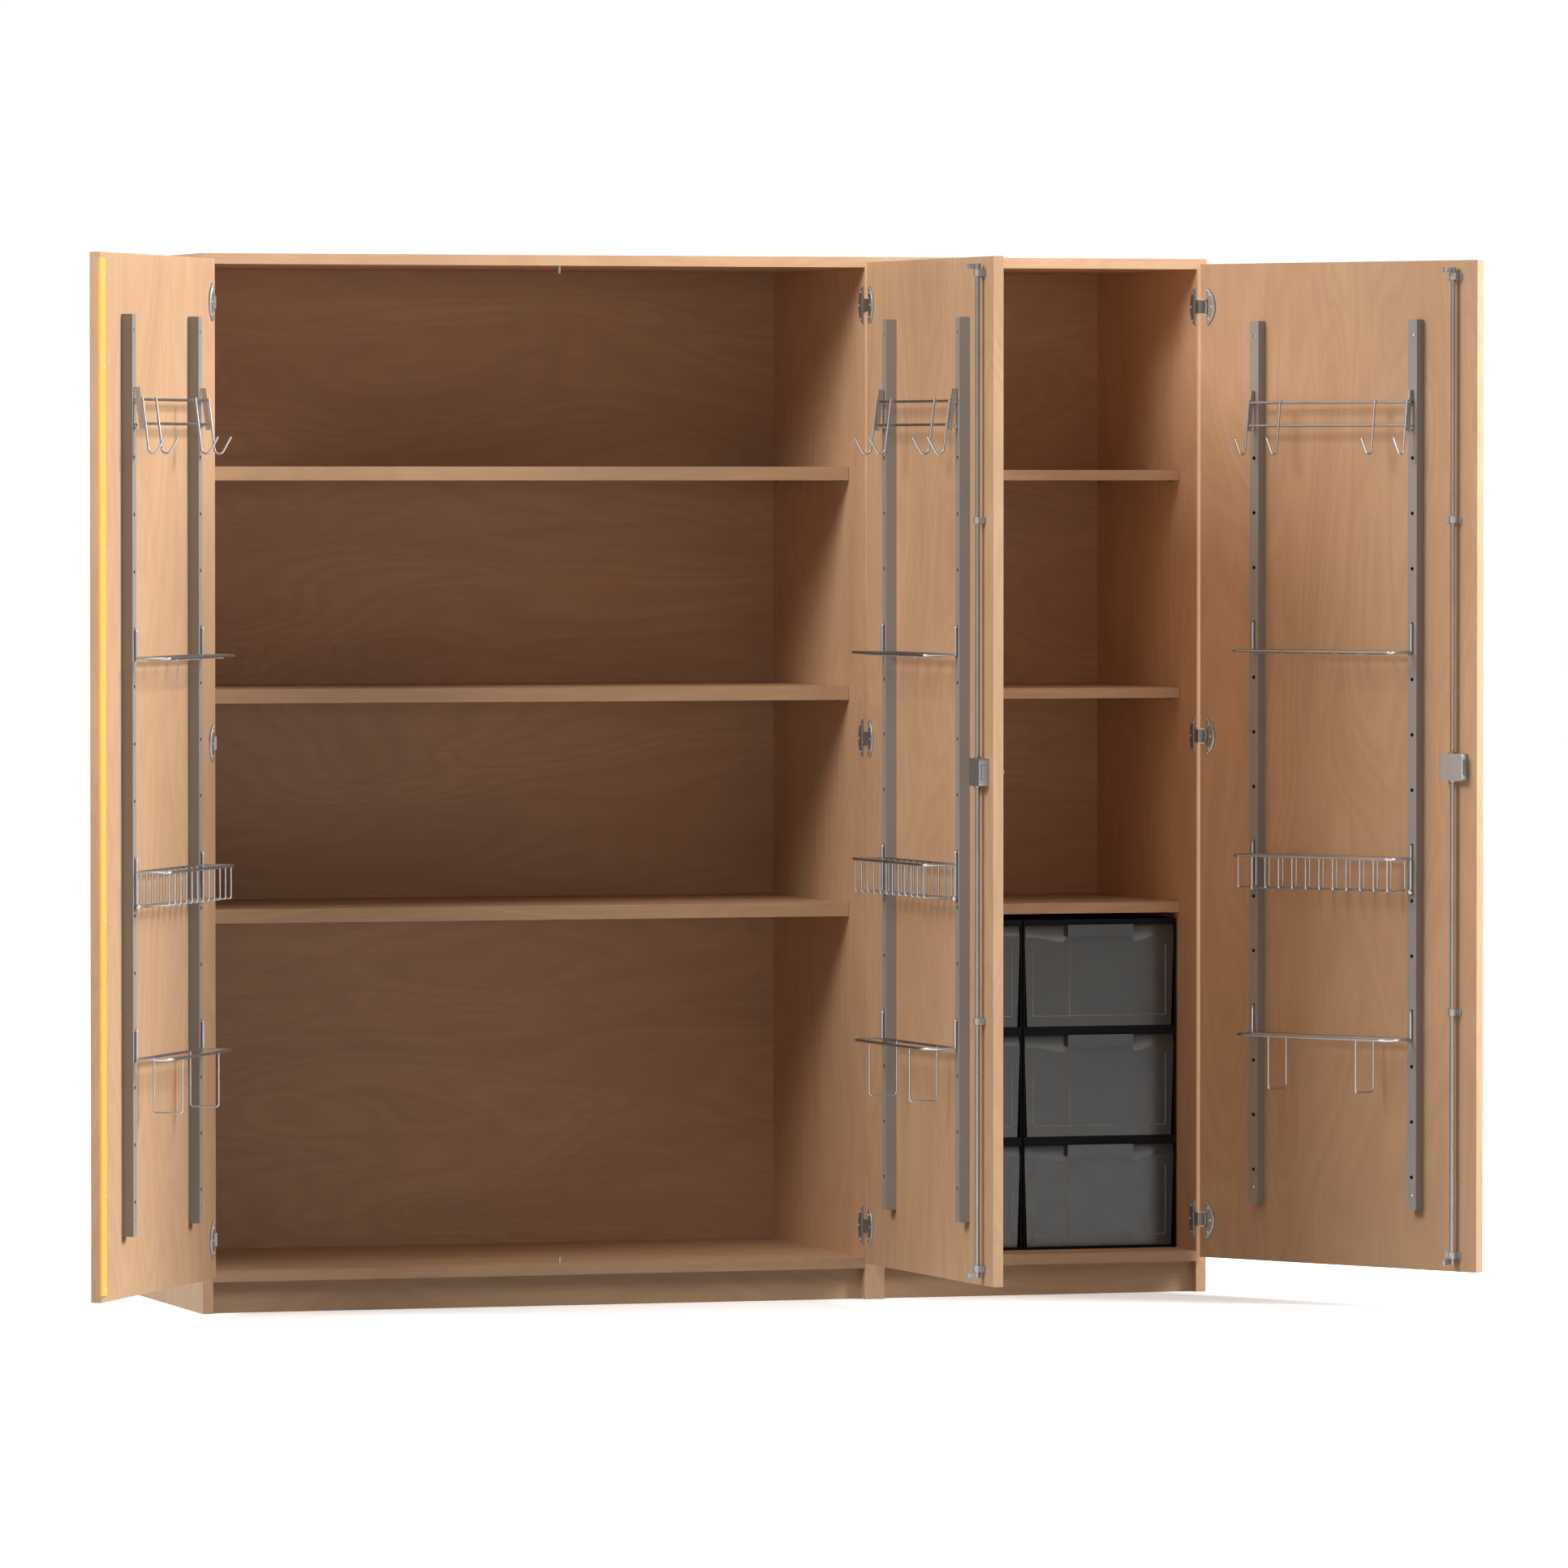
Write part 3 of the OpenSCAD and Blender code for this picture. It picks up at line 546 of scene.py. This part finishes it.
def finish_piece(piece, name, body, material):
    """Names a piece in place, applies its transforms, recalculates its normals and puts it on its body."""
    deselect_all()
    piece.select_set(True)
    bpy.context.view_layer.objects.active = piece
    bpy.ops.object.transform_apply(location=True, rotation=True, scale=True)
    bpy.ops.object.mode_set(mode="EDIT")
    bpy.ops.mesh.select_all(action="SELECT")
    # This is known to leave 59 of the 86 screws with normals that point inward
    bpy.ops.mesh.normals_make_consistent(inside=False)
    bpy.ops.object.mode_set(mode="OBJECT")
    bpy.ops.object.shade_smooth_by_angle(angle=math.radians(SMOOTH_ANGLE))
    piece.name = name
    piece.data.name = name
    piece.data.materials.clear()
    piece.data.materials.append(material)
    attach(piece, body)


def joined(pieces):
    """Pieces joined into the first of them. The others stay behind empty, so they are removed."""
    emptied = [piece.name for piece in pieces[1:]]
    deselect_all()
    for piece in pieces:
        piece.select_set(True)
    bpy.context.view_layer.objects.active = pieces[0]
    bpy.ops.object.join()
    for name in emptied:
        if name in bpy.data.objects:
            bpy.data.objects.remove(bpy.data.objects[name])
    return pieces[0]


def copies(template, places):
    """Copies of a template, each at (point, direction of its Z axis), joined into one object."""
    made = []
    for point, direction in places:
        deselect_all()
        template.select_set(True)
        bpy.context.view_layer.objects.active = template
        bpy.ops.object.duplicate(linked=False)
        copy = bpy.context.object
        turn = direction.to_track_quat("Z", "Y").to_matrix().to_4x4()
        copy.matrix_world = Matrix.Translation(point) @ turn
        made.append(copy)
    return joined(made)


def discard(piece):
    """Deletes a template."""
    deselect_all()
    piece.select_set(True)
    bpy.ops.object.delete()


def bay_frame(door):
    """Matrix from a closed door's own frame (s along it, o into the cabinet, z up) to the row frame."""
    place = DOORS[door]
    flip = Matrix.Scale(-1, 4, Vector((1, 0, 0))) if place["side"] < 0 else Matrix.Identity(4)
    return Matrix.Translation((place["edge"], CARCASS_FRONT - DOOR_GAP, 0)) @ flip


def door_frame(door):
    """The same for a door as it stands open."""
    pivot = Matrix.Translation((PIVOT_S, PIVOT_O, 0))
    swing = Matrix.Rotation(-math.radians(DOORS[door]["open"]), 4, "Z")
    return bay_frame(door) @ pivot @ swing @ pivot.inverted()


def spot(matrix, s, o, z, direction):
    """Point and direction in the row frame of a place in a door's own frame."""
    return matrix @ Vector((s, o, z)), (matrix.to_3x3() @ Vector(direction)).normalized()


def model_screw(radius, height, shank, facets):
    """Pan-head screw with a cross recess. Its head stands on the XY plane and its shank goes down."""
    deselect_all()
    bpy.ops.mesh.primitive_cylinder_add(
        vertices=facets, radius=radius, depth=height, location=(0, 0, height / 2)
    )
    screw = bpy.context.object
    bevel = screw.modifiers.new("rounded edge", "BEVEL")
    bevel.width = height * SCREW_ROUNDING
    bevel.segments = 3
    bevel.limit_method = "ANGLE"
    apply_modifiers(screw)
    select_faces(screw, lambda face: face.normal.z < -0.9)
    bpy.ops.mesh.inset(thickness=radius * SCREW_SHOULDER)
    bpy.ops.mesh.extrude_region_move(TRANSFORM_OT_translate={"value": (0, 0, -shank)})
    bpy.ops.object.mode_set(mode="OBJECT")
    for turn in (0.0, math.pi / 2):
        bar = model_recess_bar(radius, height, turn)
        deselect_all()
        screw.select_set(True)
        bpy.context.view_layer.objects.active = screw
        recess = screw.modifiers.new("recess", "BOOLEAN")
        recess.operation = "DIFFERENCE"
        recess.object = bar
        apply_modifiers(screw)
        discard(bar)
    return screw


def model_recess_bar(radius, height, turn):
    """Tapered bar that cuts one slot of a screw's cross recess."""
    deselect_all()
    bpy.ops.mesh.primitive_cube_add(size=1, location=(0, 0, height), rotation=(0, 0, turn))
    bar = bpy.context.object
    bar.scale = (radius * RECESS_LENGTH, radius * RECESS_WIDTH, height)
    bpy.ops.object.transform_apply(location=True, rotation=True, scale=True)
    select_faces(bar, lambda face: face.normal.z < -0.9)
    bpy.ops.transform.resize(value=(RECESS_TAPER, RECESS_TAPER, 1.0))
    bpy.ops.object.mode_set(mode="OBJECT")
    return bar


def model_collar(radius, height, facets):
    """Ring round a lock rod that stands on the XY plane."""
    deselect_all()
    bpy.ops.mesh.primitive_cylinder_add(
        vertices=facets,
        radius=radius,
        depth=height,
        location=(0, 0, height / 2),
        end_fill_type="NOTHING",
    )
    collar = bpy.context.object
    wall = collar.modifiers.new("wall", "SOLIDIFY")
    wall.thickness = radius * COLLAR_WALL
    wall.offset = -1.0
    bevel = collar.modifiers.new("rounded edges", "BEVEL")
    bevel.width = radius * COLLAR_ROUNDING
    bevel.segments = 3
    bevel.limit_method = "ANGLE"
    apply_modifiers(collar)
    return collar


def model_bumper(radius, length, facets):
    """Round-ended bumper with a waist. It stands on the XY plane."""
    deselect_all()
    bpy.ops.mesh.primitive_cylinder_add(
        vertices=facets, radius=radius, depth=length, location=(0, 0, length / 2)
    )
    bumper = bpy.context.object
    select_faces(bumper, lambda face: abs(face.normal.z) < 0.1)
    bpy.ops.mesh.inset(thickness=length * BUMPER_FLANGE)
    bpy.ops.transform.resize(value=(BUMPER_WAIST, BUMPER_WAIST, 1.0))
    bpy.ops.object.mode_set(mode="OBJECT")
    bevel = bumper.modifiers.new("round ends", "BEVEL")
    bevel.width = radius * BUMPER_ROUNDING
    bevel.segments = 4
    bevel.limit_method = "ANGLE"
    apply_modifiers(bumper)
    return bumper


def model_corner_pane(low, high, slope, slope_right):
    """Thin pane between two corners whose lower edge falls by a slope towards the pull."""
    pane = model_rib(low, high)
    select_points(pane, lambda place: place.z < 0 and (place.x > 0) == slope_right)
    bpy.ops.transform.translate(value=(0, 0, -slope))
    bpy.ops.object.mode_set(mode="OBJECT")
    return pane


def model_rib(low, high):
    """Raised moulded rib between two corners, with a rounded front."""
    deselect_all()
    centre = [(a + b) / 2 for a, b in zip(low, high)]
    bpy.ops.mesh.primitive_cube_add(size=1, location=centre)
    rib = bpy.context.object
    rib.scale = [b - a for a, b in zip(low, high)]
    bpy.ops.object.transform_apply(location=False, rotation=False, scale=True)
    select_faces(rib, lambda face: face.normal.y < -0.9)
    least = min(b - a for a, b in zip(low, high))
    bpy.ops.mesh.bevel(offset=RIB_ROUNDING * least, segments=3)
    bpy.ops.object.mode_set(mode="OBJECT")
    return rib


class CABINET_OT_board_finish(bpy.types.Operator):
    """Gives the boards their beech decor"""

    bl_idname = "cabinet.board_finish"
    bl_label = "Finish the boards"

    def execute(self, context):
        settings = context.scene.cabinet_board
        upright = nodes_with("_side_panel", "_partition", "left_door", "middle_door", "right_door")
        level = nodes_with("top_panel", "_bottom_panel", "_plinth_board", "_back_panel", "_shelf")
        level = [name for name in level if "wire" not in name]
        paint(upright, beech_laminate(settings, "Z"))
        paint(level, beech_laminate(settings, "X"))
        return {"FINISHED"}


class CABINET_OT_metal_finish(bpy.types.Operator):
    """Gives the metal parts their finishes"""

    bl_idname = "cabinet.metal_finish"
    bl_label = "Finish the metal parts"

    def execute(self, context):
        settings = context.scene.cabinet_metal
        paint(nodes_with("_door_rails"), silver_grey_lacquer(settings.rail))
        paint(nodes_with("_plates", "_guides", "_case"), die_cast_zinc(settings.zinc))
        paint(nodes_with("_pins", "_strikes", "_rod", "_bolt"), nickel_plated_steel(settings.steel))
        wire_pieces = nodes_with("_hook_rail", "_wire_shelf", "_basket", "_bottle_holder")
        paint(wire_pieces, chromed_wire(settings.wire))
        bright_screw_steel(settings.screw)
        return {"FINISHED"}


class CABINET_OT_plastic_finish(bpy.types.Operator):
    """Gives the plastic parts their finishes"""

    bl_idname = "cabinet.plastic_finish"
    bl_label = "Finish the plastic parts"

    def execute(self, context):
        settings = context.scene.cabinet_plastic
        paint(nodes_with("_housings"), black_polystyrene(settings.housing))
        paint(nodes_with("_drawer"), smoke_polystyrene(settings.smoke, settings.smoke_cover))
        paint(nodes_with("_knob"), olive_nylon(settings.knob))
        paint(nodes_with("_strip"), yellow_pvc(settings.strip))
        # The ribs' paler colour is a painted highlight
        smoke_polystyrene_painted_highlight(settings.edge)
        return {"FINISHED"}


class CABINET_OT_screws(bpy.types.Operator):
    """Adds the screws of the hinges, rails, rod guides and closing strip"""

    bl_idname = "cabinet.screws"
    bl_label = "Add the screws"

    def execute(self, context):
        sizes = context.scene.cabinet_fitting
        steel = bpy.data.materials["bright_screw_steel"]
        screw = model_screw(sizes.screw_radius, sizes.screw_height, SCREW_SHANK, sizes.facets)
        long_screw = model_screw(
            sizes.screw_radius, sizes.screw_height, RAIL_SCREW_SHANK, sizes.facets
        )
        fixed = []
        for door in DOORS:
            body = door + "_door"
            turned = door_frame(door)
            closed = bay_frame(door)
            hinge = [
                spot(turned, s, HINGE_PLATE_TOP, height + z, (0, 1, 0))
                for height in HINGE_HEIGHTS
                for s, z in DOOR_PLATE_SCREWS
            ]
            finish_piece(copies(screw, hinge), door + "_hinge_screws", body, steel)
            rails = [
                spot(turned, s, RAIL_FACE - RAIL_SCREW_SINK, z, (0, 1, 0))
                for s in RAIL_PLACES
                for z in RAIL_FIXING_HEIGHTS
            ]
            finish_piece(copies(long_screw, rails), door + "_rail_screws", body, steel)
            fixed += [
                spot(closed, FRAME_PLATE_TOP, o + DOOR_GAP, height + z, (1, 0, 0))
                for height in HINGE_HEIGHTS
                for o, z in FRAME_PLATE_SCREWS
            ]
        finish_piece(copies(screw, fixed), "hinge_frame_screws", "root", steel)
        for door in LOCKED_DOORS:
            turned = door_frame(door)
            s = DOORS[door]["width"] - ROD_FROM_EDGE - GUIDE_SCREW_OFFSET
            guides = [spot(turned, s, GUIDE_FOOT, z, (0, 1, 0)) for z in GUIDE_HEIGHTS]
            name = door + "_guide_screws"
            finish_piece(copies(screw, guides), name, door + "_door", steel)
        turned = door_frame("left")
        heights = [STRIP_SCREW_LOW + i * STRIP_SCREW_PITCH for i in range(STRIP_SCREWS)]
        strip = [spot(turned, STRIP_SCREW_PLACE, STRIP_FACE, z, (0, 1, 0)) for z in heights]
        finish_piece(copies(screw, strip), "left_strip_screws", "left_door", steel)
        discard(screw)
        discard(long_screw)
        return {"FINISHED"}


class CABINET_OT_collars(bpy.types.Operator):
    """Adds the collars where the lock rods leave their cases"""

    bl_idname = "cabinet.collars"
    bl_label = "Add the rod collars"

    def execute(self, context):
        sizes = context.scene.cabinet_fitting
        steel = bpy.data.materials["nickel_plated_steel"]
        collar = model_collar(sizes.collar_radius, sizes.collar_height, sizes.facets)
        for door in LOCKED_DOORS:
            turned = door_frame(door)
            s = DOORS[door]["width"] - ROD_FROM_EDGE
            places = [
                spot(turned, s, ROD_DEPTH, CASE_HIGH, (0, 0, 1)),
                spot(turned, s, ROD_DEPTH, CASE_LOW, (0, 0, -1)),
            ]
            name = door + "_rod_collars"
            finish_piece(copies(collar, places), name, door + "_door", steel)
        discard(collar)
        return {"FINISHED"}


class CABINET_OT_bumpers(bpy.types.Operator):
    """Adds the bumpers that hold the hook rails off the door rails"""

    bl_idname = "cabinet.bumpers"
    bl_label = "Add the hook rail bumpers"

    def execute(self, context):
        sizes = context.scene.cabinet_fitting
        chrome = bpy.data.materials["chromed_wire"]
        bumper = model_bumper(sizes.bumper_radius, BUMPER_LENGTH, sizes.facets)
        for door in DOORS:
            turned = door_frame(door)
            depth = RAIL_FACE + BUMPER_PLAY
            places = [spot(turned, s, depth, BUMPER_HEIGHT, (0, 1, 0)) for s in RAIL_PLACES]
            name = door + "_hook_bumpers"
            finish_piece(copies(bumper, places), name, door + "_door", chrome)
        discard(bumper)
        return {"FINISHED"}


class CABINET_OT_drawer_ribs(bpy.types.Operator):
    """Adds the moulded ribs on the drawer fronts"""

    bl_idname = "cabinet.drawer_ribs"
    bl_label = "Add the drawer ribs"

    def execute(self, context):
        width = context.scene.cabinet_fitting.rib_width
        smoke = bpy.data.materials["smoke_polystyrene"]
        # The ribs get the paler colour of a painted highlight
        edge = bpy.data.materials["smoke_polystyrene_painted_highlight"]
        for side, left in DRAWER_LEFT_EDGES.items():
            for row, floor in DRAWER_FLOORS.items():
                name = side + "_" + row + "_drawer"
                panes = joined(shoulder_panes(left, floor))
                finish_piece(panes, name + "_panes", name, smoke)
                ribs = joined(front_ribs(left, floor, width))
                finish_piece(ribs, name + "_ribs", name, edge)
        return {"FINISHED"}


def front_ribs(left, floor, width):
    """Three upright ribs and the foot rib on a drawer front."""
    front = DRAWER_FRONT_Y - RIB_PROUD
    rear = DRAWER_FRONT_Y + RIB_SEAT
    low = floor + RIB_LOW
    right = left + DRAWER_WIDTH
    ribs = []
    for x in (left + RIB_INSET, left + RIB_SHARE * DRAWER_WIDTH, right - RIB_INSET):
        ribs.append(model_rib((x - width / 2, front, low), (x + width / 2, rear, floor + RIB_TOP)))
    ribs.append(model_rib((left + RIB_INSET, front, low - width), (right - RIB_INSET, rear, low)))
    return ribs


def shoulder_panes(left, floor):
    """Panes that close a drawer front above its two sloping shoulders."""
    low = floor + DRAWER_HEIGHT - SHOULDER
    high = floor + DRAWER_HEIGHT - PANE_GAP
    front = DRAWER_FRONT_Y + PANE_GAP
    rear = front + PANE_THICKNESS
    pull = PULL_SHARE * DRAWER_WIDTH
    right = left + DRAWER_WIDTH
    left_corners = (left + PANE_GAP, front, low), (left + pull, rear, high)
    right_corners = (right - pull, front, low), (right - PANE_GAP, rear, high)
    return [
        model_corner_pane(*left_corners, SHOULDER_FALL, True),
        model_corner_pane(*right_corners, SHOULDER_FALL, False),
    ]


class CABINET_OT_stage(bpy.types.Operator):
    """Adds the floor, the lights and the camera"""

    bl_idname = "cabinet.stage"
    bl_label = "Set the stage"

    def execute(self, context):
        settings = context.scene.cabinet_stage
        add_floor(settings.floor)
        add_area_light("key_light", KEY_LIGHT, settings.key_power)
        add_area_light("fill_light", FILL_LIGHT, settings.fill_power)
        set_world(context.scene)
        add_camera(context.scene)
        return {"FINISHED"}


def add_floor(colour):
    """Large pale floor with a faint uneven tone."""
    deselect_all()
    bpy.ops.mesh.primitive_plane_add(size=FLOOR_SIZE, location=(0, 0, 0))
    floor = bpy.context.object
    floor.name = "floor"
    material, tree, shader = new_material("pale_floor")
    tone = noise_pattern(tree, FLOOR_MARKS, {"Detail": 2.0})
    mix = add_node(
        tree,
        "ShaderNodeMix",
        {"data_type": "RGBA", 6: colour, 7: scaled_colour(colour, FLOOR_SHADE)},
        {0: tone},
    )
    tree.links.new(mix.outputs[2], shader.inputs["Base Color"])
    shader.inputs["Roughness"].default_value = 0.9
    shader.inputs["Emission Color"].default_value = colour
    shader.inputs["Emission Strength"].default_value = FLOOR_GLOW
    floor.data.materials.append(material)
    # The floor shows and takes shadows, but sends no light back up into the cabinet
    floor.visible_diffuse = False


def add_area_light(name, way, power):
    """Square soft light on a way from its place to its target."""
    place, target = way
    bpy.ops.object.light_add(type="AREA", location=place)
    light = bpy.context.object
    light.name = name
    light.data.size = LIGHT_SIZE
    light.data.energy = power
    light.rotation_euler = (Vector(target) - Vector(place)).to_track_quat("-Z", "Y").to_euler()


def set_world(scene):
    """White light round the horizon and overhead, weaker between, and weak from below."""
    world = bpy.data.worlds.new("studio")
    world.use_nodes = True
    tree = world.node_tree
    background = tree.nodes["Background"]
    place = add_node(tree, "ShaderNodeTexCoord")
    parts = add_node(tree, "ShaderNodeSeparateXYZ", links={"Vector": place.outputs["Generated"]})
    height = add_node(tree, "ShaderNodeMapRange", {"From Min": -1.0}, {"Value": parts.outputs["Z"]})
    ramp = add_node(tree, "ShaderNodeValToRGB", links={"Fac": height.outputs["Result"]})
    stops = ramp.color_ramp.elements
    stops[0].color = (NADIR, NADIR, NADIR, 1.0)
    stops[1].color = (ZENITH, ZENITH, ZENITH, 1.0)
    for position, value in WORLD_STOPS:
        stop = stops.new(position)
        stop.color = (value, value, value, 1.0)
    # The camera itself sees plain white past the floor's edge
    path = add_node(tree, "ShaderNodeLightPath")
    seen = add_node(
        tree,
        "ShaderNodeMix",
        {"data_type": "RGBA", 7: (BACKDROP, BACKDROP, BACKDROP, 1.0)},
        {0: path.outputs["Is Camera Ray"], 6: ramp.outputs["Color"]},
    )
    tree.links.new(seen.outputs[2], background.inputs["Color"])
    scene.world = world


def add_camera(scene):
    """Camera where the photograph was taken from."""
    turn = [math.radians(angle) for angle in CAMERA_TURN]
    bpy.ops.object.camera_add(location=CAMERA_PLACE, rotation=turn)
    camera = bpy.context.object
    camera.name = "photo_camera"
    camera.data.lens = CAMERA_LENS
    camera.data.sensor_width = CAMERA_SENSOR
    camera.data.shift_y = CAMERA_SHIFT_Y
    scene.camera = camera


OPERATORS = (
    CABINET_OT_board_finish,
    CABINET_OT_metal_finish,
    CABINET_OT_plastic_finish,
    CABINET_OT_screws,
    CABINET_OT_collars,
    CABINET_OT_bumpers,
    CABINET_OT_drawer_ribs,
    CABINET_OT_stage,
)

SETTINGS = {
    "cabinet_board": CabinetBoardSettings,
    "cabinet_metal": CabinetMetalSettings,
    "cabinet_plastic": CabinetPlasticSettings,
    "cabinet_fitting": CabinetFittingSettings,
    "cabinet_stage": CabinetStageSettings,
}


class CABINET_PT_panel(bpy.types.Panel):
    """Lists the cabinet's settings and operators"""

    bl_idname = "CABINET_PT_panel"
    bl_label = "Storage cabinet"
    bl_space_type = "VIEW_3D"
    bl_region_type = "UI"
    bl_category = "Cabinet"

    def draw(self, context):
        for attribute, group in SETTINGS.items():
            box = self.layout.box()
            for name in group.__annotations__:
                box.prop(getattr(context.scene, attribute), name)
        for operator in OPERATORS:
            self.layout.operator(operator.bl_idname)


def register():
    """Registers the settings, the operators and the panel."""
    for group in SETTINGS.values():
        bpy.utils.register_class(group)
    for attribute, group in SETTINGS.items():
        setattr(bpy.types.Scene, attribute, PointerProperty(type=group))
    for operator in OPERATORS:
        bpy.utils.register_class(operator)
    bpy.utils.register_class(CABINET_PT_panel)


def unregister():
    """Takes them away again, in reverse."""
    bpy.utils.unregister_class(CABINET_PT_panel)
    for operator in reversed(OPERATORS):
        bpy.utils.unregister_class(operator)
    for attribute, group in SETTINGS.items():
        delattr(bpy.types.Scene, attribute)
        bpy.utils.unregister_class(group)


def main():
    """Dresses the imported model, from the finishes to the stage."""
    register()
    # The photo shows its colours plainly, so no film curve is laid over them
    bpy.context.scene.view_settings.view_transform = "Standard"
    bpy.ops.cabinet.board_finish()
    bpy.ops.cabinet.metal_finish()
    bpy.ops.cabinet.plastic_finish()
    bpy.ops.cabinet.screws()
    bpy.ops.cabinet.collars()
    bpy.ops.cabinet.bumpers()
    bpy.ops.cabinet.drawer_ribs()
    bpy.ops.cabinet.stage()


if __name__ == "__main__":
    main()
